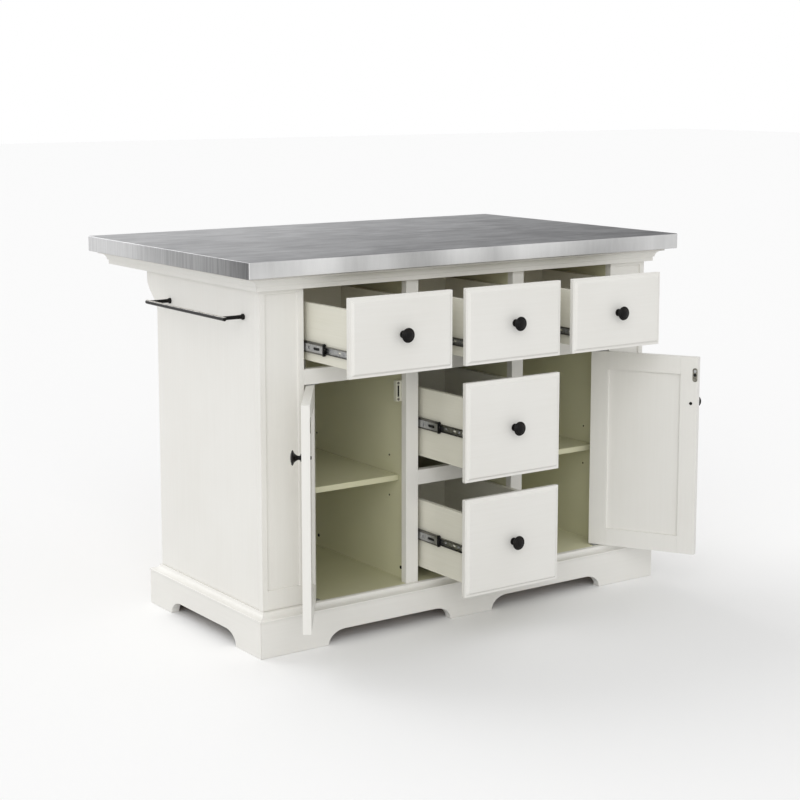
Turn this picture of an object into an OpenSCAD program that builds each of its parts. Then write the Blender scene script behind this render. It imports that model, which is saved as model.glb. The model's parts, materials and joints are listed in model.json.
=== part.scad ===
// Kitchen island unit: a painted cabinet on an arched plinth, with five drawers on ball slides,
// two framed doors on pivots, a towel bar, and a sheet-steel worktop that overhangs at the back.
// X runs along the front from left to right, Y from front to back, Z up from the floor.
// X 0 and Y 0 are the middle of the whole unit as it stands, with its drawers and doors open.

/* [Worktop] */
// Height of the worktop above the floor
counter_h = 914; // [900:1:930]
// Width of the worktop
top_w = 1282; // [1262:2:1320]
// Depth of the worktop
top_d = 812; // [790:2:860]
// Thickness of the worktop
top_t = 38; // [30:1:45]
// How far the worktop stands out over the cabinet's front
front_overhang = 60; // [45:1:80]

/* [Cabinet] */
// Width of the cabinet body
body_w = 1160; // [1120:2:1200]
// Depth of the cabinet body
body_d = 496; // [486:2:520]
// Width of each broad post at the front corners
post_w = 116; // [100:1:130]
// Width of each upright between two bays
mullion_w = 35; // [30:1:45]
// Height of the rail under the top drawers and between the deep drawers
rail_h = 36; // [30:1:40]
// Height of the low and the middle drawer opening
deep_open_h = 240; // [225:1:245]
// Height of the moulding under the worktop
crown_h = 34; // [34:1:40]

/* [Plinth] */
// Height of the plinth boards
plinth_h = 85; // [70:1:100]
// How far the plinth boards stand out round the body, which is also their thickness
plinth_t = 22; // [18:1:23]
// Height of the arches cut into the plinth boards
arch_h = 33; // [20:1:45]

/* [Doors] */
// Thickness of a door
door_t = 19; // [18:0.5:19]
// Gap round a closed door
door_gap = 2.5; // [2:0.5:3]
// Width of a door's stiles and rails
door_stile = 45; // [45:1:60]
// Angle at which the left door stands
left_door_open = 124.5; // [0:0.5:128]
// Angle at which the right door stands
right_door_open = 121; // [0:0.5:128]

/* [Drawers] */
// Distance that each drawer stands open
drawer_open = 190; // [0:1:400]
// Length of a drawer box, from the back of its front
box_l = 430; // [422:1:440]
// Thickness of a drawer box's sides and ends
box_board = 12; // [10:1:15]

/* [Hardware] */
// Diameter of a knob's head
knob_d = 34; // [25:1:35]
// How far a knob stands out
knob_l = 25; // [22:1:32]
// Length of each drawer slide
slide_l = 400; // [350:10:400]
// Diameter of the towel bar
bar_d = 10; // [8:0.5:12]

/* [Hidden] */
$fn = 48;
cut = 1;                 // how far a cutting solid reaches past the face it cuts
seam = 0.2;              // glue line between two boards of one piece
paint = [0.90, 0.89, 0.87];
inside = [0.80, 0.76, 0.66];
steel = [0.66, 0.67, 0.68];
zinc = [0.72, 0.74, 0.77];
black = [0.13, 0.12, 0.11];

// Boards
board_t = 18;            // carcass boards
face_t = 20;             // posts, mullions and rails of the face frame
back_set = 6;            // back panel's face in front of the body's back plane
post_border = 14;        // plain border beside a post's sunk field
post_sink = 5;
cap_h = 17;              // moulded cap of the plinth, and the deck inside it
plinth_set = 6;          // plinth and deck forward of the body's front
top_rail_h = 17;

// Heights from the floor
base_h = plinth_h + cap_h;
slab_z = counter_h - top_t;
body_h = slab_z - board_t;
low_z = [base_h, base_h + deep_open_h];
mid_z = [low_z[1] + rail_h, low_z[1] + rail_h + deep_open_h];
high_z = [mid_z[1] + rail_h, body_h - top_rail_h];

// Widths from the middle
half_w = body_w / 2;
bay_w = (body_w - 2 * post_w - 2 * mullion_w) / 3;
bay_x = bay_w + mullion_w;          // middle of an outer bay
mullion_x = bay_w / 2;              // mullion's edge at the middle bay
outer_x = bay_x - bay_w / 2;        // mullion's edge at the outer bay
post_x = bay_x + bay_w / 2;         // post's edge at the outer bay
divider_x = mullion_x + board_t;    // divider's face in the outer bay

// Knobs: [radius, distance from the face it stands on]
knob_r = knob_d / 2;
knob_profile = [[0, 0], [9, 0], [9, 1.6], [8.2, 2.4], [5.4, 3.4], [4.6, 5.4], [4.8, 8], [5.8, 10.5],
    [7.6, 13], [10.4, knob_l - 9], [knob_r - 1.4, knob_l - 6.6], [knob_r - 0.2, knob_l - 5.6],
    [knob_r, knob_l - 4.8], [knob_r - 0.3, knob_l - 3.8], [knob_r - 1.6, knob_l - 3],
    [knob_r - 5, knob_l - 1.4], [knob_r - 10, knob_l - 0.4], [0, knob_l]];
screw_d = 4;
screw_hole_d = 5;
screw_head = [8, 2.5];              // diameter and height

// Doors, drawn closed with the pivot at X 0 Y 0 and the leaf along +X
pivot_in = 20;                      // pivot from the hinge-side edge
door_w = bay_w - 2 * door_gap;
leaf = door_w - pivot_in;
door_z = [base_h + door_gap, mid_z[1] - door_gap];
pivot_x = post_x - door_gap - pivot_in;
panel_t = 6;
panel_in = 8;                       // panel's edge inside its groove
door_knob_x = leaf - 17;
door_knob_z = 497;
pin_d = 6;
pin_l = 11.5;
bush = [10, 6.1, 12];               // outside and inside diameter, length
bush_hole_d = 10.1;
pivot_plate = [38, 14, 1.5];
strike_size = [12.5, 1.2, 35];
strike_x = leaf - 7.5;
strike_z = 570.5;
catch_z = [547.5, 597.5];
catch_x = [divider_x, divider_x + 31];

// Drawers, numbered from the top left: three in the top row, then middle, then low
drawer_x = [-bay_x, 0, bay_x, 0, 0];
front_gap = [2, 2];                 // beside and below a front
front_drop = [5, 5, 5, 3, 3];       // gap above a front
front_t = 16;
front_lip = 5.5;                    // flat lip round a front's raised field
front_rise = 5;                     // height and width of the slope up to the field
drawer_z = [high_z, high_z, high_z, mid_z, low_z];
front_z = [for (i = [0:4]) drawer_z[i] + [front_gap[1], -front_drop[i]]];
box_up = [18, 18, 18, 30, 30];      // box's underside above the front's
box_drop = [29, 29, 29, 38, 38];    // box's top below the front's
bottom_t = 6;
bottom_up = 10;                     // drawer bottom above the box's underside

// Ball slides: steel sheet channels, seen along the slide; u is the distance from the cabinet side
slide_u = 12.7;
slide_sheet = 1.2;
slide_y = 22;                       // slide's end behind the front plane, closed
slide_up = [51, 51, 51, 113, 113];  // slide's middle above the front's lower edge
outer_member = [0, 10, 17.5];       // web, flange tips, half height
middle_member = [3.2, 10.2, 13];
inner_member = [slide_u, 6.4, 9];
box_half = bay_w / 2 - slide_u;

// Shelves
shelf_t = 14;
shelf_in = 56;                      // shelf's edge behind the front plane
shelf_pin_d = 5;
shelf_pin_l = 8;                    // in the board and out of it
pin_hole = [5.3, 9];                // diameter and depth
pin_ys = [96, 426];
pin_zs = [301, 351, 401];
shelf_slot = [9, 5.6];              // length and width
shelf_z = pin_zs[1] - 6;            // shelf's underside

// The open doors and drawers reach further forward than the worktop, and set the middle in Y
function door_reach(a) = max(leaf * sin(a) + door_t / 2 * abs(cos(a)),
    door_knob_x * sin(a) + (door_t / 2 + knob_l) * cos(a)) - door_t / 2;
reach = max(front_overhang, drawer_open + knob_l, door_reach(left_door_open), door_reach(right_door_open));
front_y = (reach - top_d + front_overhang) / 2;
back_y = front_y + body_d;
inner_y = [front_y + face_t, back_y - board_t];  // from the face frame to the back panel
plinth_y = [front_y - plinth_set, back_y];
top_y = [front_y - front_overhang, front_y - front_overhang + top_d];
crown_back_y = top_y[1] - 39;
pivot_y = front_y + door_t / 2;

// A board between two X, two Y and two Z values
module block(x, y, z) translate([x[0], y[0], z[0]]) cube([x[1] - x[0], y[1] - y[0], z[1] - z[0]]);

// The children and their mirror image at the other side
module pair() {
    children();
    mirror([1, 0, 0]) children();
}

// A profile of Y and Z, extruded along X
module along_x(x) translate([x[0], 0, 0]) rotate([90, 0, 90]) linear_extrude(x[1] - x[0]) children();

// A strip along X with its inner face at Y 0 and a mitre at each end; the profile is [outward, up]
module mitred(run, out, height) intersection() {
    along_x([-run / 2 - out, run / 2 + out]) children();
    linear_extrude(height) polygon([[seam / 2 - run / 2, 0], [run / 2 - seam / 2, 0],
        [run / 2 + out - seam / 2, out], [seam / 2 - run / 2 - out, out]]);
}

// Four mitred strips round the body's sides from one Y to another
module ring(y, z, out, height) {
    for (end = [0, 1]) translate([0, y[end], z]) rotate(180 * (1 - end)) mitred(body_w, out, height) children();
    for (side = [-1, 1]) translate([side * half_w, (y[0] + y[1]) / 2, z]) rotate(-90 * side)
        mitred(y[1] - y[0], out, height) children();
}

// ---- Worktop ----

module plan(inset, corner) {
    w = top_w - 2 * inset;
    d = top_d - 2 * inset;
    square([w - 2 * corner, d], center = true);
    square([w, d - 2 * corner], center = true);
    for (x = [-1, 1], y = [-1, 1]) translate([x * (w / 2 - corner), y * (d / 2 - corner)]) circle(corner);
}

top_sheet = 1.2;
top_corner = 4;
top_return = 18;         // width of the sheet's lip under the worktop
core_play = 0.3;

// Sheet steel folded down over the edges and in under the core
module steel_top() color(steel) translate([0, (top_y[0] + top_y[1]) / 2, slab_z]) difference() {
    linear_extrude(top_t) plan(0, top_corner);
    translate([0, 0, top_sheet]) linear_extrude(top_t - 2 * top_sheet) plan(top_sheet, top_corner - top_sheet);
    translate([0, 0, -cut]) linear_extrude(top_sheet + 2 * cut)
        square([top_w - 2 * top_return, top_d - 2 * top_return], center = true);
}

module top_core() color("burlywood") translate([0, (top_y[0] + top_y[1]) / 2, slab_z]) {
    translate([0, 0, top_sheet]) linear_extrude(top_t - 2 * top_sheet)
        plan(top_sheet + core_play, top_corner - top_sheet);
    linear_extrude(top_sheet + cut)
        square([top_w - 2 * (top_return + core_play), top_d - 2 * (top_return + core_play)], center = true);
}

module sub_top() color("burlywood") block([-half_w, half_w], [front_y, crown_back_y], [body_h, slab_z]);

crown_foot = [16, 11];   // projection and height
cove_r = 16;
cove_steps = 8;
crown_nose = 37;

module crown_moulding() color(paint) translate([0, 0, slab_z - crown_h])
    ring([front_y, crown_back_y], 0, crown_nose, crown_h) polygon(concat(
        [[0, 0], [crown_foot[0], 0], crown_foot],
        [for (i = [0:cove_steps]) let (a = 180 - 90 * i / cove_steps)
            [crown_foot[0] + 3 + cove_r * (1 + cos(a)), crown_foot[1] + cove_r * sin(a)]],
        [[crown_nose, crown_foot[1] + cove_r], [crown_nose, crown_h], [0, crown_h]]));

// ---- Carcass ----

corbel_out = 52;
corbel_z = [744, 820];   // foot and shoulder of the curve
corbel_steps = 10;

// End panel, whose back edge swells out under the overhang
module end_panel() color(paint) along_x([half_w - board_t, half_w]) polygon(concat(
    [[inner_y[0], base_h], [back_y, base_h]],
    [for (i = [0:corbel_steps]) let (t = i / corbel_steps)
        [back_y + corbel_out * (1 - cos(180 * t)) / 2, corbel_z[0] + (corbel_z[1] - corbel_z[0]) * t]],
    [[back_y + corbel_out, body_h], [inner_y[0], body_h]]));
module end_panel_right() end_panel();
module end_panel_left() mirror([1, 0, 0]) end_panel();

post_field_z = [148, 832];
module post() color(paint) difference() {
    block([post_x, half_w], [front_y, inner_y[0]], [base_h, body_h]);
    block([post_x + post_border, half_w - post_border], [front_y - cut, front_y + post_sink], post_field_z);
}
module post_right() post();
module post_left() mirror([1, 0, 0]) post();

module mullions() color(paint) pair() block([mullion_x, outer_x], [front_y, inner_y[0]], [base_h, body_h]);

module face_rails() color(paint) {
    for (x = [-bay_x, 0, bay_x]) translate([x, 0, 0])
        for (z = [[mid_z[1], high_z[0]], [high_z[1], body_h]])
            block([-bay_w / 2, bay_w / 2], [front_y, inner_y[0]], z);
    block([-bay_w / 2, bay_w / 2], [front_y, inner_y[0]], [low_z[1], mid_z[0]]);
}

module back_panel() color(paint)
    block([board_t - half_w, half_w - board_t], [inner_y[1], back_y - back_set], [base_h, body_h]);

batten_w = 60;
// Flat battens that divide the back into three fields
module back_battens() color(paint) {
    inner_half = half_w - board_t;
    field = (2 * inner_half - 4 * batten_w) / 3;
    for (i = [0:3]) translate([i * (field + batten_w) - inner_half, 0, 0])
        block([0, batten_w], [back_y - back_set, back_y], [base_h, body_h]);
    for (i = [0:2], z = [base_h, body_h - batten_w])
        translate([i * (field + batten_w) + batten_w - inner_half, 0, 0])
            block([seam, field - seam], [back_y - back_set, back_y], [z, z + batten_w]);
}

// Blind holes for shelf pins in a face at X 0, running towards +X
module pin_holes() for (y = pin_ys, z = pin_zs)
    translate([-cut, front_y + y, z]) rotate([0, 90, 0]) cylinder(d = pin_hole[0], h = pin_hole[1] + cut);

module inner_sides() color(inside) pair() difference() {
    block([post_x, post_x + board_t], inner_y, [base_h, body_h]);
    translate([post_x, 0, 0]) pin_holes();
}

module dividers() color(inside) pair() difference() {
    block([mullion_x, divider_x], inner_y, [base_h, body_h]);
    translate([divider_x, 0, 0]) mirror([1, 0, 0]) pin_holes();
}

packer_h = 60;
// Packers that bring the outer top drawers' inner slides flush with the mullions
module slide_packers() color(inside) pair() translate([0, front_y, front_z[0][0] + slide_up[0]])
    block([divider_x, outer_x], [slide_y, slide_y + slide_l], [-packer_h / 2, packer_h / 2]);

module deck() color(inside) block([-half_w, half_w], plinth_y, [plinth_h, base_h]);

// ---- Plinth ----

cap_out = 23.5;
cap_edge = 4;            // plain edge under the cap's cove
cap_cove = [17.5, 11.5]; // cove's width and height
module base_cap() color(paint) translate([0, 0, plinth_h]) ring(plinth_y, 0, cap_out, cap_h)
    polygon(concat([[0, 0], [cap_out, 0], [cap_out, cap_edge]],
        [for (i = [0:cove_steps]) let (a = 270 - 90 * i / cove_steps)
            [cap_out - 2 + cap_cove[0] * cos(a), cap_edge + 1 + cap_cove[1] * (1 + sin(a))]],
        [[0, cap_h]]));

arch_end = 46;           // length of an arch's curved end
arch_steps = 8;
front_arch = [64, 418];  // from the middle to each end of an arch in the long boards
side_arch = 159.5;       // half the length of the arch in a short board

// A plinth board with an arch between each pair of X values
module arched_board(run, arches) color(paint) difference() {
    mitred(run, plinth_t, plinth_h) square([plinth_t, plinth_h]);
    for (x = arches) translate([0, plinth_t + cut, 0]) rotate([90, 0, 0])
        linear_extrude(plinth_t + 2 * cut) polygon(concat([[x[0], -cut]],
            [for (i = [0:arch_steps]) let (a = 180 - 90 * i / arch_steps)
                [x[0] + arch_end * (1 + cos(a)), arch_h * sin(a)]],
            [for (i = [0:arch_steps]) let (a = 90 - 90 * i / arch_steps)
                [x[1] - arch_end * (1 - cos(a)), arch_h * sin(a)]],
            [[x[1], -cut]]));
}
module long_board() arched_board(body_w, [front_arch, [-front_arch[1], -front_arch[0]]]);
module short_board() translate([half_w, (plinth_y[0] + plinth_y[1]) / 2, 0]) rotate(-90)
    arched_board(plinth_y[1] - plinth_y[0], [[-side_arch, side_arch] - [plinth_set, plinth_set] / 2]);
module plinth_front() translate([0, plinth_y[0], 0]) rotate(180) long_board();
module plinth_back() translate([0, back_y, 0]) long_board();
module plinth_right() short_board();
module plinth_left() mirror([1, 0, 0]) short_board();

block_w = 40;
block_z = 40;
// Glue blocks in the plinth's corners, and a bearer under each divider
module corner_blocks() color("burlywood") pair() {
    for (y = [plinth_y[0], plinth_y[1] - block_w])
        block([half_w - block_w, half_w], [y, y + block_w], [block_z, plinth_h]);
    block([mullion_x, divider_x], plinth_y, [block_z, plinth_h]);
}

// ---- Fittings inside and outside ----

// The pins sit in slots cut into the shelf's ends from below
module shelves() color(inside) pair() difference() {
    block([divider_x + cut, post_x - cut], [front_y + shelf_in, inner_y[1] - cut], [shelf_z, shelf_z + shelf_t]);
    for (x = [divider_x, post_x - shelf_slot[0]], y = pin_ys) translate([0, front_y + y, 0])
        block([x, x + shelf_slot[0]], [-shelf_slot[1] / 2, shelf_slot[1] / 2],
            [shelf_z - cut, pin_zs[1] + shelf_pin_d / 2]);
}

module shelf_pins() color(zinc) pair() for (x = [divider_x, post_x], y = pin_ys)
    translate([x - shelf_pin_l, front_y + y, pin_zs[1]]) rotate([0, 90, 0])
        cylinder(d = shelf_pin_d, h = 2 * shelf_pin_l);

bar_out = 56;            // rod's axis from the end panel
bar_z = 777;
bar_y = 248;             // rod's middle behind the front plane
bar_half = 191.5;
bar_post_y = 177;
bar_post_d = 10;
bar_rose = [14, 5];
module towel_bar() color(black) translate([-half_w, front_y + bar_y, bar_z]) {
    translate([-bar_out, bar_half, 0]) rotate([90, 0, 0]) cylinder(d = bar_d, h = 2 * bar_half);
    for (y = [-bar_post_y, bar_post_y]) translate([0, y, 0]) rotate([0, -90, 0]) {
        cylinder(d = bar_post_d, h = bar_out);
        cylinder(d = bar_rose[0], h = bar_rose[1]);
    }
}

// A channel from its web's back to its flanges' tips, along Y
module channel(member) {
    way = sign(member[1] - member[0]);
    web = member[0] + way * slide_sheet;
    tip = member[1] + way * cut;
    difference() {
        block([min(member[0], member[1]), max(member[0], member[1])],
            [slide_y, slide_y + slide_l], [-member[2], member[2]]);
        block([min(web, tip), max(web, tip)], [slide_y - cut, slide_y + slide_l + cut],
            [slide_sheet - member[2], member[2] - slide_sheet]);
    }
}

// The left and right member of drawer i, pulled out of the cabinet by a distance
module member_pair(i, member, out) color(zinc)
    translate([drawer_x[i], front_y - out, front_z[i][0] + slide_up[i]])
        pair() translate([-bay_w / 2, 0, 0]) channel(member);

module slide_cabinet_members() for (i = [0:4]) member_pair(i, outer_member, 0);

catch_t = 12;
catch_gap = 1.5;         // catch's face behind the closed door's
magnet_x = [23, 28];     // slot from the divider
magnet_z = [558.5, 586.5];
// What the doors close on and turn on: magnetic catches, and plates with pins above and below
module catches_and_pivots() {
    pair() color(zinc) for (end = [0, 1]) {
        z = [base_h, mid_z[1]][end];
        way = 1 - 2 * end;
        translate([pivot_x, pivot_y, z + way * pivot_plate[2] / 2]) cube(pivot_plate, center = true);
        translate([pivot_x, pivot_y, end == 0 ? z : z - pivot_plate[2] - pin_l])
            cylinder(d = pin_d, h = pivot_plate[2] + pin_l);
    }
    pair() color("white") translate([0, front_y + door_t + catch_gap, 0]) difference() {
        block(catch_x, [0, catch_t], catch_z);
        block(divider_x * [1, 1] + magnet_x, [-cut, cut], magnet_z);
    }
}

// ---- Drawers ----

// A knob at the origin, standing out towards -Y, with a screw through the thickness it is fixed to
module knob(thickness) color(black) rotate([90, 0, 0]) {
    rotate_extrude() polygon(knob_profile);
    translate([0, 0, -thickness]) cylinder(d = screw_d, h = thickness + cut);
    translate([0, 0, -thickness - screw_head[1]]) cylinder(d = screw_head[0], h = screw_head[1]);
}

module screw_hole(thickness) translate([0, thickness + cut, 0]) rotate([90, 0, 0])
    cylinder(d = screw_hole_d, h = thickness + 2 * cut);

module at_drawer(i) translate([drawer_x[i], front_y - drawer_open, front_z[i][0]]) children();
function front_h(i) = front_z[i][1] - front_z[i][0];

// What is cut from a front along an edge at Z 0, leaving a lip and a slope to the raised field
module border_cut(run) along_x([-run / 2 - cut, run / 2 + cut])
    polygon([[-cut, -cut], [front_rise, -cut], [front_rise, front_lip],
        [0, front_lip + front_rise], [-cut, front_lip + front_rise + cut]]);

module drawer_front(i) color(paint) at_drawer(i) {
    w = bay_w - 2 * front_gap[0];
    h = front_h(i);
    difference() {
        block([-w / 2, w / 2], [0, front_t], [0, h]);
        border_cut(w);
        translate([0, 0, h]) mirror([0, 0, 1]) border_cut(w);
        pair() translate([-w / 2, 0, h / 2]) rotate([0, 90, 0]) border_cut(h);
        translate([0, 0, h / 2]) screw_hole(front_t);
    }
}

module drawer_box(i) color(inside) at_drawer(i) {
    z = [box_up[i], front_h(i) - box_drop[i]];
    side = box_half - box_board;
    ends = [front_t, front_t + box_l];
    pair() block([side, box_half], ends, z);
    difference() {
        block([seam - side, side - seam], [ends[0], ends[0] + box_board], z);
        translate([0, front_t, front_h(i) / 2]) screw_hole(box_board);
    }
    block([seam - side, side - seam], [ends[1] - box_board, ends[1]], z);
    block([seam - side, side - seam], [ends[0] + box_board + seam, ends[1] - box_board - seam],
        [z[0] + bottom_up, z[0] + bottom_up + bottom_t]);
}

module drawer_knob(i) at_drawer(i) translate([0, 0, front_h(i) / 2]) knob(front_t + box_board);
module runners(i) member_pair(i, inner_member, drawer_open);
// The middle members travel half as far as the drawer
module slides(i) member_pair(i, middle_member, drawer_open / 2);

module drawer_1_front() drawer_front(0);
module drawer_1_box() drawer_box(0);
module drawer_1_knob() drawer_knob(0);
module drawer_1_runners() runners(0);
module slides_1() slides(0);
module drawer_2_front() drawer_front(1);
module drawer_2_box() drawer_box(1);
module drawer_2_knob() drawer_knob(1);
module drawer_2_runners() runners(1);
module slides_2() slides(1);
module drawer_3_front() drawer_front(2);
module drawer_3_box() drawer_box(2);
module drawer_3_knob() drawer_knob(2);
module drawer_3_runners() runners(2);
module slides_3() slides(2);
module drawer_4_front() drawer_front(3);
module drawer_4_box() drawer_box(3);
module drawer_4_knob() drawer_knob(3);
module drawer_4_runners() runners(3);
module slides_4() slides(3);
module drawer_5_front() drawer_front(4);
module drawer_5_box() drawer_box(4);
module drawer_5_knob() drawer_knob(4);
module drawer_5_runners() runners(4);
module slides_5() slides(4);

// ---- Doors ----

module left_leaf() translate([-pivot_x, pivot_y, 0]) rotate(-left_door_open) children();
module right_leaf() mirror([1, 0, 0]) translate([-pivot_x, pivot_y, 0]) rotate(-right_door_open) children();

panel_x = [door_stile - pivot_in - panel_in, leaf - door_stile + panel_in];
panel_z = [door_z[0] + door_stile - panel_in, door_z[1] - door_stile + panel_in];

module bush_holes() for (z = [door_z[0] - cut, door_z[1] - bush[2]]) translate([0, 0, z])
    cylinder(d = bush_hole_d, h = bush[2] + cut);

// Two stiles and two rails, grooved for the panel
module door_frame() color(paint) difference() {
    y = [-door_t / 2, door_t / 2];
    union() {
        for (x = [-pivot_in, leaf - door_stile]) block([x, x + door_stile], y, door_z);
        for (z = [door_z[0], door_z[1] - door_stile])
            block([door_stile - pivot_in + seam, leaf - door_stile - seam], y, [z, z + door_stile]);
    }
    block(panel_x, [-panel_t / 2, panel_t / 2], panel_z);
    bush_holes();
    translate([door_knob_x, -door_t / 2, door_knob_z]) screw_hole(door_t);
}

module door_panel() color(paint)
    block(panel_x + [seam, -seam], [-panel_t / 2, panel_t / 2], panel_z + [seam, -seam]);

module door_knob() translate([door_knob_x, -door_t / 2, door_knob_z]) knob(door_t);

// A strike plate on the inner face, and a bush at each end of the pivot's line
module door_fittings() {
    color(zinc) for (z = [door_z[0], door_z[1] - bush[2]]) translate([0, 0, z]) difference() {
        cylinder(d = bush[0], h = bush[2]);
        translate([0, 0, -cut]) cylinder(d = bush[1], h = bush[2] + 2 * cut);
    }
    color(black) translate([strike_x, door_t / 2 + strike_size[1] / 2, strike_z])
        cube(strike_size, center = true);
}

module door_left_frame() left_leaf() door_frame();
module door_left_panel() left_leaf() door_panel();
module door_left_knob() left_leaf() door_knob();
module door_left_fittings() left_leaf() door_fittings();
module door_right_frame() right_leaf() door_frame();
module door_right_panel() right_leaf() door_panel();
module door_right_knob() right_leaf() door_knob();
module door_right_fittings() right_leaf() door_fittings();

steel_top();
top_core();
sub_top();
crown_moulding();
end_panel_left();
end_panel_right();
post_left();
post_right();
mullions();
face_rails();
back_panel();
back_battens();
inner_sides();
dividers();
slide_packers();
deck();
base_cap();
plinth_front();
plinth_back();
plinth_left();
plinth_right();
corner_blocks();
shelves();
shelf_pins();
towel_bar();
slide_cabinet_members();
catches_and_pivots();
drawer_1_front();
drawer_1_box();
drawer_1_knob();
drawer_1_runners();
slides_1();
drawer_2_front();
drawer_2_box();
drawer_2_knob();
drawer_2_runners();
slides_2();
drawer_3_front();
drawer_3_box();
drawer_3_knob();
drawer_3_runners();
slides_3();
drawer_4_front();
drawer_4_box();
drawer_4_knob();
drawer_4_runners();
slides_4();
drawer_5_front();
drawer_5_box();
drawer_5_knob();
drawer_5_runners();
slides_5();
door_left_frame();
door_left_panel();
door_left_knob();
door_left_fittings();
door_right_frame();
door_right_panel();
door_right_knob();
door_right_fittings();
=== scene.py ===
"""A painted kitchen island unit: five drawers on ball slides, two framed doors on pivots,
a towel bar and a folded steel worktop, dressed round its CAD frame."""

import json
from math import pi, radians

import bpy
from mathutils import Matrix, Vector

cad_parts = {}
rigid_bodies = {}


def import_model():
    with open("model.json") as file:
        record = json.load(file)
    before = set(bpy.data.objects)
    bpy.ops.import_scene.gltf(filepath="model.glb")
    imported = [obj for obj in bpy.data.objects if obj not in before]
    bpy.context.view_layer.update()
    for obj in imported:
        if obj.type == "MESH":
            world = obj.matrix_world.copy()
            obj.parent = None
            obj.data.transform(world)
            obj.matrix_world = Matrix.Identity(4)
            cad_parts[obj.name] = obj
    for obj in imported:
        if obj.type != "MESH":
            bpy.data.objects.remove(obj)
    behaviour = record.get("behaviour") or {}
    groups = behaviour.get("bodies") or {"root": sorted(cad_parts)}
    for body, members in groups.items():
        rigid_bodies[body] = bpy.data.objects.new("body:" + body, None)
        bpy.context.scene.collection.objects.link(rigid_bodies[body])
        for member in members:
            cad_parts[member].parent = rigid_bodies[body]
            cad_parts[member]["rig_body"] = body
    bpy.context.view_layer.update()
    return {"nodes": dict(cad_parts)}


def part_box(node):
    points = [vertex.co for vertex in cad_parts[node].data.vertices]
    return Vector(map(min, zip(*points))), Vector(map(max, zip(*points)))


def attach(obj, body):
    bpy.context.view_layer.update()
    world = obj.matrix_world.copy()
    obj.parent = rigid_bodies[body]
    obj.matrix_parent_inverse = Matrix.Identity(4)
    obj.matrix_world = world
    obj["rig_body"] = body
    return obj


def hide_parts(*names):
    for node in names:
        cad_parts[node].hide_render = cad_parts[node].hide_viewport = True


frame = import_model()

# ---- Camera ----------------------------------------------------------------------------
# Stands at the front left, about 1.3 m up and 4.4 m away, and looks slightly down. The long
# lens and the small shift keep the uprights nearly parallel, as in the picture.
eye = Vector((-2.5585, -3.6330, 1.3129))
heading, dip = 35.055, 8.356
lens = bpy.data.cameras.new("studio_camera")
lens.lens = 79.13
lens.sensor_width = 36
lens.shift_y = -0.08
lens.clip_end = 200
camera = bpy.data.objects.new("studio_camera", lens)
camera.location = eye
camera.rotation_euler = (radians(90 - dip), 0, -radians(heading))
bpy.context.scene.collection.objects.link(camera)
bpy.context.scene.camera = camera


# ---- Plinth ----------------------------------------------------------------------------
# Four boards 22 mm thick, sawn with low arches and mitred at the corners, glued to blocks
# inside. Sanded, primed and painted in satin off-white, the brush drawn along each board.
class Coat:
    """A socket of a finish. Sums written on coats add their Math nodes."""

    def __init__(self, tree, socket=None):
        self.tree, self.socket = tree, socket

    def node(self, kind, settings=None, sockets=None, out=0):
        """Adds a node with its settings, then the values or links of its sockets."""
        made = self.tree.nodes.new(kind)
        for name, value in (settings or {}).items():
            setattr(made, name, value)
        for name, value in (sockets or {}).items():
            if isinstance(value, Coat):
                self.tree.links.new(value.socket, made.inputs[name])
            else:
                made.inputs[name].default_value = value
        return Coat(self.tree, made.outputs[out] if made.outputs else None)

    def sum(self, operation, first, second):
        """A Math node on two coats or numbers."""
        return self.node("ShaderNodeMath", {"operation": operation}, {0: first, 1: second})

    def __add__(self, other): return self.sum("ADD", self, other)
    def __radd__(self, other): return self.sum("ADD", other, self)
    def __mul__(self, other): return self.sum("MULTIPLY", self, other)
    def __rmul__(self, other): return self.sum("MULTIPLY", other, self)

    def between(self, low, high):
        """0 below low, 1 above high, and a smooth rise between them."""
        return self.node("ShaderNodeMapRange", {"interpolation_type": "SMOOTHSTEP"},
            {"Value": self, "From Min": low, "From Max": high})

    def blend(self, first, second):
        """One colour where this coat is 0, the other where it is 1."""
        return self.node("ShaderNodeMix", {"data_type": "RGBA"},
            {0: self, 6: first, 7: second}, out=2)

    def grain(self, size, stretch=(1, 1, 1), detail=2.0, rough=0.5):
        """Noise with marks of a size in metres, drawn out along the axes with a small stretch."""
        drawn = self.node("ShaderNodeMapping", None, {"Vector": self, "Scale": stretch})
        return self.node("ShaderNodeTexNoise", None,
            {"Vector": drawn, "Scale": 1 / size, "Detail": detail, "Roughness": rough})

    def relief(self, depth, strength=1.0):
        """A bump of this height, for a shader's Normal."""
        return self.node("ShaderNodeBump", None,
            {"Height": self, "Distance": depth, "Strength": strength})


def finish(name, layers):
    """A material whose shader's sockets are what layers gives for a place on the piece."""
    material = bpy.data.materials.new(name)
    material.use_nodes = True
    material.node_tree.nodes.clear()
    place = Coat(material.node_tree).node("ShaderNodeTexCoord", out="Object")
    shader = place.node("ShaderNodeBsdfPrincipled", None, layers(place))
    place.node("ShaderNodeOutputMaterial", None, {"Surface": shader})
    return material


def drawn_out(run, share=0.05):
    """The stretch of marks that run along an axis: 0, 1 or 2."""
    return [share if axis == run else 1.0 for axis in range(3)]


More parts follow.
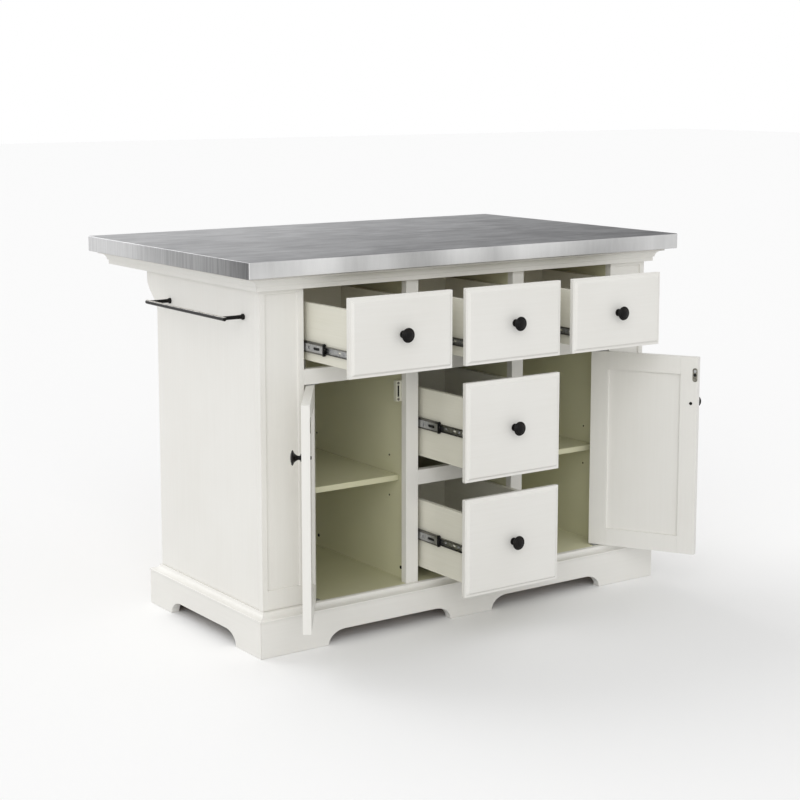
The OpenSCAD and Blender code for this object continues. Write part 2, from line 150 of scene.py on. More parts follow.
def satin_paint(name, run, light=(0.835, 0.824, 0.786, 1), deep=(0.795, 0.781, 0.737, 1)):
    """Satin paint brushed along an axis, over wood whose grain just shows."""
    def layers(place):
        clouds = place.grain(0.34, detail=3.0)
        grain = place.grain(0.006, drawn_out(run, 0.03), detail=4.0, rough=0.6)
        strokes = place.grain(0.0011, drawn_out(run, 0.02))
        peel = place.grain(0.0016)
        tone = (clouds * 0.7 + grain * 0.3).between(0.3, 0.7)
        skin = grain * 0.5 + strokes * 0.3 + peel * 0.35
        return {"Base Color": tone.blend(deep, light),
            "Roughness": 0.34 + clouds * 0.12 + strokes * 0.1,
            "Specular IOR Level": 0.45, "Normal": skin.relief(0.00022, 0.5)}
    return finish(name, layers)


def take_up(*pieces):
    """Lays everything down and takes up these pieces, the first as the active one."""
    if bpy.context.object and bpy.context.object.mode != "OBJECT":
        bpy.ops.object.mode_set(mode="OBJECT")
    bpy.ops.object.select_all(action="DESELECT")
    for piece in pieces:
        piece.select_set(True)
    bpy.context.view_layer.objects.active = pieces[0]


def apply_all(piece):
    """Applies a piece's modifiers in their order."""
    take_up(piece)
    for modifier in list(piece.modifiers):
        bpy.ops.object.modifier_apply(modifier=modifier.name)


def fit(piece, body, slot, coat, *nodes):
    """Gives a finished piece its coat and its body, and hides the CAD nodes it stands for. Its
    slot is not used.
    """
    piece.data.materials.clear()
    piece.data.materials.append(coat)
    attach(piece, body)
    if nodes:
        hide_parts(*nodes)
    return piece


def even_shine(piece):
    """Smooths rounded edges and curves, and keeps the flats between them flat."""
    take_up(piece)
    bpy.ops.object.shade_smooth_by_angle(angle=radians(38))
    flats = piece.modifiers.new("flats", "WEIGHTED_NORMAL")
    flats.keep_sharp, flats.weight = True, 100
    apply_all(piece)
    return piece


def arris(piece, radius, steps=2, limit=30):
    """Rounds a piece's sharp edges and smooths what is left."""
    cut = piece.modifiers.new("arris", "BEVEL")
    cut.width, cut.segments = radius, steps
    cut.limit_method, cut.angle_limit = "ANGLE", radians(limit)
    apply_all(piece)
    return even_shine(piece)


def twin(name, piece):
    """A copy of a piece, with a mesh of its own."""
    made = bpy.data.objects.new(name, piece.data.copy())
    bpy.context.scene.collection.objects.link(made)
    return made


def copy_of(node, suffix):
    """A piece with a CAD node's mesh, merged so that it can be worked on."""
    piece = twin(node + suffix, frame["nodes"][node])
    take_up(piece)
    bpy.ops.object.mode_set(mode="EDIT")
    bpy.ops.mesh.select_all(action="SELECT")
    bpy.ops.mesh.remove_doubles(threshold=0.00002)
    bpy.ops.mesh.dissolve_limited(angle_limit=radians(1))
    bpy.ops.object.mode_set(mode="OBJECT")
    return piece


def sanded(node, radius, slot, coat, steps=2):
    """A CAD board as it leaves the sander, with its arrises eased."""
    piece = arris(copy_of(node, "_sanded"), radius, steps)
    return fit(piece, frame["nodes"][node]["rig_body"], slot, coat, node)


def recoat(piece, coat, test):
    """Gives another coat to the faces whose middle and normal pass a test."""
    piece.data.materials.append(coat)
    for face in piece.data.polygons:
        if test(face.center, face.normal):
            face.material_index = len(piece.data.materials) - 1


def plywood_layers(place):
    """Bare birch ply: pale veneer with long grain and a darker glue line every 3 mm."""
    grain = place.grain(0.004, drawn_out(0, 0.04), detail=5.0, rough=0.6)
    clouds = place.grain(0.12, drawn_out(0, 0.3))
    plies = place.node("ShaderNodeSeparateXYZ", None, {"Vector": place}, out=2)
    wave = plies * (2 * pi / 0.003)
    lines = wave.node("ShaderNodeMath", {"operation": "SINE"}, {0: wave}).between(0.55, 0.95)
    tone = (grain * 0.6 + clouds * 0.4).between(0.3, 0.7)
    wood = tone.blend((0.50, 0.36, 0.22, 1), (0.66, 0.52, 0.36, 1))
    return {"Base Color": (lines * 0.25).blend(wood, (0.36, 0.24, 0.14, 1)),
        "Roughness": 0.62 + grain * 0.15, "Normal": grain.relief(0.0004, 0.5)}


plywood = finish("bare_plywood", plywood_layers)
paint_x = satin_paint("satin_paint_along_rails", 0)
paint_y = satin_paint("satin_paint_front_to_back", 1)
paint_z = satin_paint("satin_paint_along_stiles", 2)
for side, coat, inward in (("front", paint_x, (0, 1, 0)), ("back", paint_x, (0, -1, 0)),
        ("left", paint_y, (1, 0, 0)), ("right", paint_y, (-1, 0, 0))):
    board = sanded(f"plinth_{side}", 0.0015, "painted_wood", coat)
    recoat(board, plywood, lambda at, way: way.dot(Vector(inward)) > 0.9)
sanded("corner_blocks", 0.001, "raw_board", plywood)

# ---- Plinth cap ------------------------------------------------------------------------
# A moulding with a plain edge and a cove, mitred round the body above the plinth boards.
sanded("base_cap", 0.0005, "painted_wood", paint_x)


# ---- Carcass boards --------------------------------------------------------------------
# Deck, inner sides and dividers of faced board, cream and smoother than the paint, and the
# same for the packers beside the top slides. The facing is darker and more olive than the
# paint, partly as painted shade inside the bays. The deck's rim outside the body is painted.
def facing_and_bay_shade_layers(place):
    """Cream facing with a very fine cast texture, darker and more olive than the paint as painted
    shade inside the bays.
    """
    clouds = place.grain(0.25, detail=2.0)
    cast = place.grain(0.0009, detail=3.0)
    pores = place.grain(0.003, drawn_out(1, 0.08), detail=3.0)
    return {"Base Color": clouds.between(0.3, 0.7).blend(
            (0.655, 0.643, 0.440, 1), (0.700, 0.688, 0.485, 1)),
        "Roughness": 0.40 + pores * 0.12, "Specular IOR Level": 0.4,
        "Normal": (cast * 0.6 + pores * 0.4).relief(0.00012, 0.5)}


def scored(piece, *planes):
    """Splits a piece's faces where planes, each a point and a way, go through them."""
    take_up(piece)
    bpy.ops.object.mode_set(mode="EDIT")
    for place, way in planes:
        bpy.ops.mesh.select_all(action="SELECT")
        bpy.ops.mesh.bisect(plane_co=place, plane_no=way)
    bpy.ops.object.mode_set(mode="OBJECT")


faced = finish("cream_facing_and_bay_shade", facing_and_bay_shade_layers)
front_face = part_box("post_left")[0].y
end_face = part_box("end_panel_left")[0].x
rim_y, rim_x = front_face + 0.001, -end_face - 0.001
deck = sanded("deck", 0.0004, "inside_board", faced)
scored(deck, ((0, rim_y, 0), (0, 1, 0)), ((-rim_x, 0, 0), (1, 0, 0)),
    ((rim_x, 0, 0), (1, 0, 0)))
recoat(deck, plywood, lambda at, way: way.z < -0.9)
recoat(deck, paint_x, lambda at, way: way.z > -0.9 and (at.y < rim_y or abs(at.x) > rim_x))
inner_sides = sanded("inner_sides", 0.0004, "inside_board", faced)
dividers = sanded("dividers", 0.0004, "inside_board", faced)
sanded("slide_packers", 0.001, "inside_board", faced)

# ---- End panels and back ---------------------------------------------------------------
# Solid painted ends whose back edge swells into a corbel under the overhang, a back panel
# held between them, and flat battens glued on that divide it into three fields.
sanded("end_panel_left", 0.0016, "painted_wood", paint_z)
sanded("end_panel_right", 0.0016, "painted_wood", paint_z)
sanded("back_panel", 0.0004, "painted_wood", paint_z)
sanded("back_battens", 0.0008, "painted_wood", paint_z)

# ---- Face frame ------------------------------------------------------------------------
# Two broad posts with a sunk field, two uprights and the rails between them, glued up flush
# from 20 mm boards. Hairline joints show through the paint.
sanded("post_left", 0.0010, "painted_wood", paint_z)
sanded("post_right", 0.0010, "painted_wood", paint_z)
sanded("mullions", 0.0008, "painted_wood", paint_z)
sanded("face_rails", 0.0006, "painted_wood", paint_x)

# ---- Shelves ---------------------------------------------------------------------------
# One loose shelf in each outer bay, edged and faced like the inside, on four zinc pins. The
# pins stand in the middle of three rows of holes drilled in the boards on both sides.
sanded("shelves", 0.0010, "inside_board", faced)


def turned(name, rings, sides=40, levels=0):
    """A piece turned on the Z axis from rings of (radius, height), closed at both ends."""
    bpy.ops.object.select_all(action="DESELECT")
    radius, height = rings[0]
    bpy.ops.mesh.primitive_circle_add(vertices=sides, radius=radius, fill_type="NGON",
        location=(0, 0, height))
    piece = bpy.context.object
    piece.name = piece.data.name = name
    bpy.ops.object.transform_apply()
    bpy.ops.object.mode_set(mode="EDIT")
    bpy.ops.mesh.select_mode(type="FACE")
    bpy.ops.mesh.select_all(action="SELECT")
    for wider, higher in rings[1:]:
        bpy.ops.mesh.extrude_region_move(
            TRANSFORM_OT_translate={"value": (0, 0, higher - height)})
        bpy.ops.transform.resize(value=(wider / radius, wider / radius, 1),
            center_override=(0, 0, higher))
        radius, height = wider, higher
    bpy.ops.mesh.select_all(action="SELECT")
    bpy.ops.mesh.normals_make_consistent(inside=False)
    bpy.ops.object.mode_set(mode="OBJECT")
    if levels:
        round_off = piece.modifiers.new("round_off", "SUBSURF")
        round_off.levels = round_off.render_levels = levels
        apply_all(piece)
    return even_shine(piece)


def set_in(pattern, name, foot, way):
    """A copy of a piece made at the origin, with its foot at a point and its top that way."""
    piece = twin(name, pattern)
    turn = Vector((0, 0, 1)).rotation_difference(Vector(way)).to_matrix().to_4x4()
    piece.data.transform(Matrix.Translation(Vector(foot)) @ turn)
    return piece


def put_away(*patterns):
    """Removes patterns once their copies are set."""
    for pattern in patterns:
        bpy.data.objects.remove(pattern)


def zinc_layers(place):
    """Bright zinc plate on steel: cool grey, faintly clouded, with drawing marks."""
    spangle = place.grain(0.006, detail=3.0)
    marks = place.grain(0.0006, drawn_out(1, 0.02))
    return {"Base Color": spangle.between(0.3, 0.7).blend(
            (0.36, 0.365, 0.37, 1), (0.50, 0.505, 0.515, 1)), "Metallic": 1.0,
        "Roughness": 0.26 + spangle * 0.14 + marks * 0.08,
        "Normal": marks.relief(0.00004, 0.5)}


zinc = finish("bright_zinc", zinc_layers)
pin_long, pin_r, pin_up, row_step = 0.008, 0.0025, 0.351, 0.050
hole_deep, hole_reach = 0.0095, 0.0032
pin_behind = (0.096, 0.426)
divider_face, inner_face = 0.161, 0.464


def hole_core_shade_layers(place):
    """The brown fibre core that shows where a faced board is drilled, made near black as painted
    shade inside the holes.
    """
    fibre = place.grain(0.0007, detail=4.0, rough=0.7)
    return {"Base Color": fibre.blend((0.035, 0.024, 0.015, 1), (0.075, 0.052, 0.032, 1)),
        "Roughness": 0.85, "Specular IOR Level": 0.1, "Normal": fibre.relief(0.0003, 0.7)}


drilled = finish("fibre_core_and_hole_shade", hole_core_shade_layers)
pin_rows = [Vector((0, front_face + behind, pin_up + rise * row_step))
    for behind in pin_behind for rise in (-1, 0, 1)]
# The walls of the pin holes get the near-black fibre colour: partly the bare core, partly painted
# shade inside the holes.
for board, face in ((dividers, divider_face), (inner_sides, inner_face)):
    recoat(board, drilled, lambda at, way: 0.0001 < abs(abs(at.x) - face) < hole_deep
        and min((Vector((0, at.y, at.z)) - row).length for row in pin_rows) < hole_reach)
pin = turned("shelf_pin_pattern", [(0.0019, -pin_long), (pin_r, -pin_long + 0.0006),
    (pin_r, 0), (0.0042, 0.0001), (0.0042, 0.0009), (pin_r, 0.0012),
    (pin_r, pin_long - 0.0008), (0.0017, pin_long)], sides=24)
for side in (-1, 1):
    for row, behind in enumerate(pin_behind):
        for wall, way in ((divider_face, side), (inner_face, -side)):
            where = "left" if side < 0 else "right"
            fit(set_in(pin, f"shelf_pin_{where}_{row}_{int(wall * 1000)}",
                (side * wall, front_face + behind, pin_up), (way, 0, 0)),
                "cabinet", "zinc_steel", zinc, "shelf_pins")
put_away(pin)

# ---- Crown and sub-top -----------------------------------------------------------------
# A moulding with a cove and a square nose, mitred round the ends, planted on the edge of the
# plywood board that closes the cabinet under the worktop.
sanded("crown_moulding", 0.0007, "painted_wood", paint_x)
sanded("sub_top", 0.0008, "raw_board", plywood)


# ---- Worktop ---------------------------------------------------------------------------
# Stainless sheet brushed along its length, folded down 38 mm over a plywood core with small
# radii, and folded in underneath. The corners are welded and ground round.
def place_cube(name, low, high):
    """A block between two corners, to be shaped on."""
    bpy.ops.object.select_all(action="DESELECT")
    low, high = Vector(low), Vector(high)
    bpy.ops.mesh.primitive_cube_add(size=1, location=(low + high) / 2, scale=high - low)
    piece = bpy.context.object
    piece.name = piece.data.name = name
    bpy.ops.object.transform_apply()
    return piece


def pick(piece, kind, test):
    """Goes into edit mode with only the faces, edges or points that pass a test of place
    and way."""
    take_up(piece)
    bpy.ops.object.mode_set(mode="EDIT")
    bpy.ops.mesh.select_mode(type=kind)
    bpy.ops.mesh.select_all(action="DESELECT")
    bpy.ops.object.mode_set(mode="OBJECT")
    corner = [v.co for v in piece.data.vertices]
    if kind == "FACE":
        for face in piece.data.polygons:
            face.select = test(face.center, face.normal)
    elif kind == "VERT":
        for point in piece.data.vertices:
            point.select = test(point.co, point.normal)
    else:
        for edge in piece.data.edges:
            a, b = (corner[i] for i in edge.vertices)
            edge.select = bool(test((a + b) / 2, (b - a).normalized()))
    bpy.ops.object.mode_set(mode="EDIT")


def brushed_steel(name, stretch, streak, streaks_by, reflection_slope, reflection_patches_by, dark, pale, edge_tint):
    """Stainless sheet with fine brush lines and broader streaks, and painted reflection: its
    colour pales towards one corner and is clouded in broad patches, as the room's reflections."""
    def layers(place):
        fine = place.grain(0.0016, stretch, detail=3.0, rough=0.65)
        broad = place.grain(streak[0], streak[1:], detail=4.0, rough=0.6)
        clouds = place.grain(0.30, detail=2.0)
        reflection_lean = place.node("ShaderNodeVectorMath", {"operation": "DOT_PRODUCT"},
            {0: place, 1: reflection_slope}, out="Value")
        # Painted reflection: the colour pales along the slope and in broad patches of noise,
        # standing in for the room's reflections on the steel.
        painted_reflection = (reflection_lean + clouds * reflection_patches_by).between(reflection_patches_by / 2 - 0.7, reflection_patches_by / 2 + 0.8)
        lines = (fine * 0.35 + broad * 0.65).between(0.30, 0.70)
        tone = painted_reflection * (1 - streaks_by) + lines * streaks_by
        return {"Base Color": tone.blend((*dark, 1), (*pale, 1)), "Metallic": 1.0,
            "Specular Tint": (*edge_tint, 1),
            "Roughness": 0.27 + fine * 0.14 + broad * 0.10,
            "Normal": (fine * 0.7 + broad * 0.3).relief(0.00006, 0.6)}
    return finish(name, layers)


# The top, the folded front and back edges and the folded ends each get their own copy of the
# steel, paler or darker as painted reflection of how each face catches the room.
top_steel = brushed_steel("steel_brushed_lengthways", (0.04, 1, 1), (0.030, 0.30, 1, 1),
    0.34, (-0.6, 0.9, 0), 0.5, (0.11, 0.111, 0.113), (0.72, 0.722, 0.726), (0.42, 0.42, 0.43))
edge_steel = brushed_steel("steel_folded_edge", (1, 1, 0.08), (0.020, 1, 1, 0.15),
    0.14, (-0.25, 0, 0), 3.5, (0.40, 0.40, 0.398), (0.84, 0.84, 0.835), (0.8, 0.8, 0.8))
end_steel = brushed_steel("steel_folded_end", (1, 0.8, 0.03), (0.008, 1, 1, 0.05),
    0.20, (0, 1.9, 0), 0.8, (0.12, 0.12, 0.122), (0.76, 0.76, 0.762), (0.6, 0.6, 0.6))
sheet_t, return_w, corner_r, fold_r = 0.0012, 0.018, 0.004, 0.0018
outer_band = corner_r + 0.0005
low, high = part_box("steel_top")
top = place_cube("worktop_sheet", low, high)
pick(top, "FACE", lambda at, way: way.z < -0.9)
bpy.ops.mesh.delete(type="FACE")
pick(top, "EDGE", lambda at, way: abs(way.z) > 0.9)
bpy.ops.mesh.bevel(offset=corner_r, segments=4, affect="EDGES")
pick(top, "EDGE", lambda at, way: at.z > high.z - 0.0001)
bpy.ops.mesh.bevel(offset=fold_r, segments=3, affect="EDGES")
pick(top, "EDGE", lambda at, way: at.z < low.z + 0.0001)
bpy.ops.mesh.extrude_region_move()
span = high - low
bpy.ops.transform.resize(value=(1 - 2 * return_w / span.x, 1 - 2 * return_w / span.y, 1),
    center_override=(low + high) / 2)
pick(top, "EDGE", lambda at, way: at.z < low.z + 0.0001 and (abs(at.x) > high.x - outer_band
    or at.y > high.y - outer_band or at.y < low.y + outer_band))
bpy.ops.mesh.bevel(offset=fold_r, segments=3, affect="EDGES")
bpy.ops.object.mode_set(mode="OBJECT")
wall = top.modifiers.new("sheet", "SOLIDIFY")
wall.thickness, wall.offset, wall.use_even_offset = sheet_t, -1, True
apply_all(top)
even_shine(top)
fit(top, "cabinet", "worktop_steel", top_steel, "steel_top")
recoat(top, edge_steel, lambda at, way: abs(way.y) > 0.75)
recoat(top, end_steel, lambda at, way: abs(way.x) > 0.75)
sanded("top_core", 0.0003, "raw_board", plywood)


# ---- Towel bar -------------------------------------------------------------------------
# A rod on two posts with round roses, screwed to the left end. Steel, finished in a bronze
# so dark that it looks black, with a soft gloss, and a painted highlight along the rod's top.
def bronze_layers(place):
    """Dark bronze: almost black, warmer where hands have polished it."""
    rub = place.grain(0.018, detail=3.0)
    skin = place.grain(0.0008)
    return {"Base Color": rub.between(0.35, 0.75).blend(
            (0.0035, 0.003, 0.003, 1), (0.010, 0.008, 0.0065, 1)),
        "Roughness": 0.24 + rub * 0.16, "Specular IOR Level": 0.16,
        "Normal": skin.relief(0.00006, 0.5)}


def highlighted_bronze_layers(place):
    """The rod's bronze, with a painted highlight: a band of bright metal along its top."""
    rub = place.grain(0.012, detail=3.0)
    height = place.node("ShaderNodeSeparateXYZ", None, {"Vector": place}, out=2)
    # Painted highlight: a bright metallic band along the top of the rod, where the lamps would
    # glint.
    painted_highlight = (height + rub * 0.0012).between(bar_z + 0.0032, bar_z + 0.0052)
    return {"Base Color": painted_highlight.blend((0.008, 0.007, 0.006, 1), (0.62, 0.60, 0.57, 1)),
        "Metallic": painted_highlight, "Roughness": 0.22 + rub * 0.14, "Specular IOR Level": 0.16}


bronze = finish("dark_bronze", bronze_layers)
bar_r, bar_half, bar_z, bar_out, post_off = 0.005, 0.1915, 0.777, 0.056, 0.177
bronze_with_painted_highlight = finish("bronze_with_painted_highlight", highlighted_bronze_layers)
bar_y = front_face + 0.248
rod = turned("towel_rod_pattern", [(bar_r - 0.0022, 0), (bar_r - 0.0006, 0.0003),
    (bar_r, 0.0014), (bar_r, 2 * bar_half - 0.0014), (bar_r - 0.0006, 2 * bar_half - 0.0003),
    (bar_r - 0.0022, 2 * bar_half)], sides=40)
fit(set_in(rod, "towel_rod", (end_face - bar_out, bar_y - bar_half, bar_z), (0, 1, 0)),
    "cabinet", "dark_metal", bronze_with_painted_highlight, "towel_bar")
bracket = turned("towel_bracket_pattern", [(0.0066, 0), (0.007, 0.0005), (0.007, 0.0036),
    (0.0064, 0.0046), (0.0052, 0.0054), (0.0049, 0.0070), (0.0045, 0.0200),
    (0.0045, bar_out - 0.0120), (0.0049, bar_out - 0.0060), (0.0049, bar_out - 0.001)],
    sides=40)
for name, along in (("front", -post_off), ("back", post_off)):
    fit(set_in(bracket, f"towel_bracket_{name}", (end_face, bar_y + along, bar_z), (-1, 0, 0)),
        "cabinet", "dark_metal", bronze, "towel_bar")
put_away(rod, bracket)


# ---- Drawers ---------------------------------------------------------------------------
# Each a box of 12 mm boards with its bottom let in, and a painted front 16 mm thick, planed
# to a raised field. One turned knob, bolted through from inside the box.
def lacquer_layers(place):
    """Cream lacquer on the boxes' boards, smooth, with the grain just raised."""
    clouds = place.grain(0.2, detail=2.0)
    grain = place.grain(0.004, drawn_out(1, 0.03), detail=4.0)
    return {"Base Color": (clouds * 0.6 + grain * 0.4).between(0.3, 0.7).blend(
            (0.745, 0.728, 0.625, 1), (0.790, 0.774, 0.680, 1)),
        "Roughness": 0.38 + clouds * 0.1, "Specular IOR Level": 0.45,
        "Normal": grain.relief(0.0002, 0.5)}


lacquer = finish("cream_lacquer", lacquer_layers)
knob_rings = [(9, 0), (9, 1.6), (8.2, 2.4), (5.4, 3.4), (4.6, 5.4), (4.8, 8), (5.8, 10.5),
    (7.6, 13), (10.4, 16), (15.6, 18.4), (16.8, 19.4), (17, 20.2), (16.7, 21.2), (15.4, 22.1),
    (14.2, 22.6), (13.6, 22.4), (13.1, 21.9), (12.5, 21.9), (12, 22.5), (11.2, 23.3),
    (8.4, 24.2), (7.9, 24.0), (7.4, 23.9), (6.9, 24.3), (3.5, 24.8), (1, 24.9)]
knob = turned("knob_pattern", [(r / 1000, h / 1000) for r, h in knob_rings], sides=48)
front_t, box_board, door_t = 0.016, 0.012, 0.019


def saw_out(piece, tool):
    """Cuts a tool's shape out of a piece and puts the tool away."""
    saw = piece.modifiers.new("saw", "BOOLEAN")
    saw.object, saw.operation, saw.solver = tool, "DIFFERENCE", "EXACT"
    apply_all(piece)
    put_away(tool)


def bolt(name, through, head_r=0.004, head_h=0.0025, cut=0.0013):
    """A bolt along Z: shank through a thickness and a domed head with a cross cut in it."""
    top = through + head_h
    piece = turned(name, [(0.0015, through - 0.004), (0.002, through - 0.0034),
        (0.002, through), (head_r, through + 0.00002), (head_r, through + head_h * 0.45),
        (head_r * 0.86, through + head_h * 0.78), (head_r * 0.5, top)], sides=28)
    for wide, long in ((0.2, 0.9), (0.9, 0.2)):
        slot = place_cube("cross_cut", (-wide * head_r, -long * head_r, top - cut),
            (wide * head_r, long * head_r, top + 0.002))
        saw_out(piece, slot)
    return even_shine(piece)


drawer_bolt = bolt("drawer_bolt_pattern", front_t + box_board)
for n in range(1, 6):
    sanded(f"drawer_{n}_box", 0.0008, "drawer_board", lacquer)
    sanded(f"drawer_{n}_front", 0.0008, "painted_wood", paint_x)
    face_low, face_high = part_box(f"drawer_{n}_front")
    middle = (face_low + face_high) / 2
    foot = Vector((middle.x, face_low.y, middle.z))
    fit(set_in(knob, f"drawer_{n}_turned_knob", foot, (0, -1, 0)),
        f"drawer_{n}", "dark_metal", bronze, f"drawer_{n}_knob")
    fit(set_in(drawer_bolt, f"drawer_{n}_knob_bolt", foot, (0, 1, 0)),
        f"drawer_{n}", "dark_metal", bronze, f"drawer_{n}_knob")
put_away(drawer_bolt)


# ---- Ball slides -----------------------------------------------------------------------
# Steel channels in three sizes, one inside the other, rolled with round folds, drilled and
# zinc plated. The widest is screwed to the cabinet, the narrowest to the drawer's side, and
# the middle one runs between them on caged balls. The stops and levers are black nylon.
def nylon_layers(place):
    """Black moulded nylon with a fine spark texture, a little grey where it is rubbed."""
    skin = place.grain(0.0006)
    rub = place.grain(0.010)
    return {"Base Color": rub.between(0.4, 0.8).blend(
            (0.005, 0.005, 0.005, 1), (0.014, 0.014, 0.014, 1)),
        "Roughness": 0.42 + skin * 0.2, "Specular IOR Level": 0.18,
        "Normal": skin.relief(0.00008, 0.6)}


nylon = finish("black_nylon", nylon_layers)
bay_half, slide_l, slide_sheet = 0.143, 0.400, 0.0012


def folded_channel(name, web, tips, half, lip=0, sheet=slide_sheet, long=slide_l, fold=0.0014,
        step=0):
    """A strip along Y whose long edges are folded towards tips and then inwards. A step
    sets the edges of its web back along two beads."""
    out = 1 if tips > web else -1
    bpy.ops.object.select_all(action="DESELECT")
    bpy.ops.mesh.primitive_plane_add(size=1, location=(web, long / 2, 0),
        rotation=(0, -out * pi / 2, 0))
    strip = bpy.context.object
    strip.name = strip.data.name = name
    strip.scale = (2 * half, long, 1)
    bpy.ops.object.transform_apply()
    if step:
        bead_in, bead_out = 0.66 * half, 0.75 * half
        scored(strip, *[((0, 0, height), (0, 0, 1))
            for height in (-bead_out, -bead_in, bead_in, bead_out)])
        pick(strip, "VERT", lambda at, way: abs(at.z) > 0.99 * bead_out)
        bpy.ops.transform.translate(value=(out * step, 0, 0))
    edge = web + out * step
    pick(strip, "EDGE", lambda at, way: abs(way.y) > 0.9 and abs(at.z) > half - 0.0001)
    bpy.ops.mesh.extrude_region_move(TRANSFORM_OT_translate={"value": (tips - edge, 0, 0)})
    for side in (-1, 1) if lip else ():
        pick(strip, "EDGE", lambda at, way: abs(way.y) > 0.9
            and abs(at.x - tips) < 0.0001 and at.z * side > half - 0.0001)
        bpy.ops.mesh.extrude_region_move(TRANSFORM_OT_translate={"value": (0, 0, -side * lip)})
    pick(strip, "EDGE", lambda at, way: abs(way.y) > 0.9 and abs(at.z) > half - 0.0001
        and (lip or abs(at.x - edge) < 0.0001))
    bpy.ops.mesh.bevel(offset=fold, segments=3, affect="EDGES")
    bpy.ops.object.mode_set(mode="OBJECT")
    wall = strip.modifiers.new("sheet", "SOLIDIFY")
    wall.thickness, wall.offset, wall.use_even_offset = sheet, -1, True
    apply_all(strip)
    return strip


def drill(strip, web, holes):
    """Drills a web at (distance along, height, radius, slot length)."""
    for along, height, radius, slot in holes:
        bpy.ops.object.select_all(action="DESELECT")
        bpy.ops.mesh.primitive_cylinder_add(vertices=20, radius=radius, depth=0.008,
            location=(web, along, height), rotation=(0, pi / 2, 0))
        tool = bpy.context.object
        bpy.ops.object.transform_apply()
        if slot:
            pick(tool, "VERT", lambda at, way: at.y > along)
            bpy.ops.transform.translate(value=(0, slot, 0))
            bpy.ops.object.mode_set(mode="OBJECT")
        saw_out(strip, tool)
    return even_shine(strip)


def saddle(name, web, arms, half_in, half_out, ends):
    """A moulded U that sits inside a channel: a web between two u values, and two arms."""
    piece = place_cube(name, (web[0], ends[0], -half_out), (web[1], ends[1], half_out))
    scored(piece, *[((0, 0, height), (0, 0, 1)) for height in (-half_in, half_in)])
    pick(piece, "FACE", lambda at, way: way.x > 0.9 and abs(at.z) > half_in)
    bpy.ops.mesh.extrude_region_move(TRANSFORM_OT_translate={"value": (arms - web[1], 0, 0)})
    bpy.ops.object.mode_set(mode="OBJECT")
    return arris(piece, 0.0004)


def joined(name, pieces):
    """One piece from several."""
    take_up(*pieces)
    bpy.ops.object.join()
    pieces[0].name = pieces[0].data.name = name
    return pieces[0]


def in_pair(pattern):
    """A slide's left member, and the right one turned over, on the two sides of a bay."""
    pattern.data.transform(Matrix.Translation((-bay_half, 0, 0)))
    other = twin("right_hand", pattern)
    other.data.transform(Matrix.Rotation(pi, 4, "Y"))
    return joined(pattern.name, [pattern, other])


outer = in_pair(drill(folded_channel("outer_channel", 0, 0.010, 0.0175, lip=0.0012), 0,
    [(0.037, 0.009, 0.0022, 0), (0.037, -0.009, 0.0022, 0), (0.128, 0, 0.0024, 0.007),
        (0.224, 0, 0.0024, 0.007), (0.352, 0.009, 0.0022, 0), (0.352, -0.009, 0.0022, 0)]))
middle = in_pair(drill(folded_channel("middle_channel", 0.0032, 0.0102, 0.013, fold=0.0018,
    step=0.0011), 0.0038, [(0.015, 0, 0.0034, 0.019), (0.056, 0, 0.0036, 0),
        (0.078, 0.003, 0.0020, 0.010), (0.120, 0, 0.0032, 0.017), (0.190, 0, 0.0036, 0),
        (0.260, 0, 0.0032, 0.017), (0.345, 0, 0.0036, 0)]))
inner = in_pair(drill(folded_channel("inner_channel", 0.0127, 0.0064, 0.009, lip=0.0010,
    fold=0.0011), 0.0122, [(0.007, 0, 0.0024, 0), (0.034, 0, 0.0022, 0.006),
        (0.098, 0, 0.0024, 0), (0.150, 0, 0.0022, 0.006), (0.235, 0, 0.0024, 0),
        (0.300, 0, 0.0022, 0.006), (0.372, 0, 0.0024, 0)]))

ball_r, ball_u, ball_v, ball_step, balls = 0.0013, 0.0080, 0.0104, 0.009, 9
rows = []
for height in (-ball_v, ball_v):
    bpy.ops.object.select_all(action="DESELECT")
    bpy.ops.mesh.primitive_uv_sphere_add(segments=10, ring_count=7, radius=ball_r,
        location=(ball_u, 0.016, height))
    row = bpy.context.object
    bpy.ops.object.transform_apply()
    repeat = row.modifiers.new("row", "ARRAY")
    repeat.count, repeat.use_relative_offset, repeat.use_constant_offset = balls, False, True
    repeat.constant_offset_displace = (0, ball_step, 0)
    apply_all(row)
    bpy.ops.object.shade_smooth()
    rows.append(row)
strip = folded_channel("cage_strip", 0.0052, 0.0094, 0.0108, sheet=0.0005, fold=0.0010,
    long=balls * ball_step + 0.004)
strip.data.transform(Matrix.Translation((0, 0.010, 0)))
cage = in_pair(joined("ball_cage", [even_shine(strip), *rows]))

liner = in_pair(saddle("mouth_liner", (0.00130, 0.0027), 0.0088, 0.0134, 0.0162,
    (0, 0.009)))
stop = in_pair(joined("nylon_stop", [
    saddle("stop_body", (0.0045, 0.0060), 0.0100, 0.0095, 0.0113, (-0.001, 0.009)),
    saddle("stop_collar", (0.0034, 0.0056), 0.0101, 0.0098, 0.0142, (-0.0026, -0.0002)),
    saddle("stop_bumper", (0.0036, 0.0056), 0.0098, 0.0098, 0.0130, (-0.0057, -0.0040)),
    arris(place_cube("stop_tongue", (0.0046, 0.008, -0.0052), (0.0051, 0.040, 0.0052)),
        0.0001)]))
lever = place_cube("nylon_lever", (0.0070, 0.128, -0.0034), (0.0092, 0.196, 0.0034))
pick(lever, "FACE", lambda at, way: way.y < -0.9)
bpy.ops.mesh.extrude_region_move(TRANSFORM_OT_translate={"value": (0, -0.030, 0.0022)})
bpy.ops.transform.resize(value=(0.8, 1, 0.35), center_override=(0.0081, 0.098, 0.0022))
lever = in_pair(arris(lever, 0.0006))
small_screw = bolt("slide_screw_pattern", 0, head_r=0.0031, head_h=0.0015, cut=0.0008)
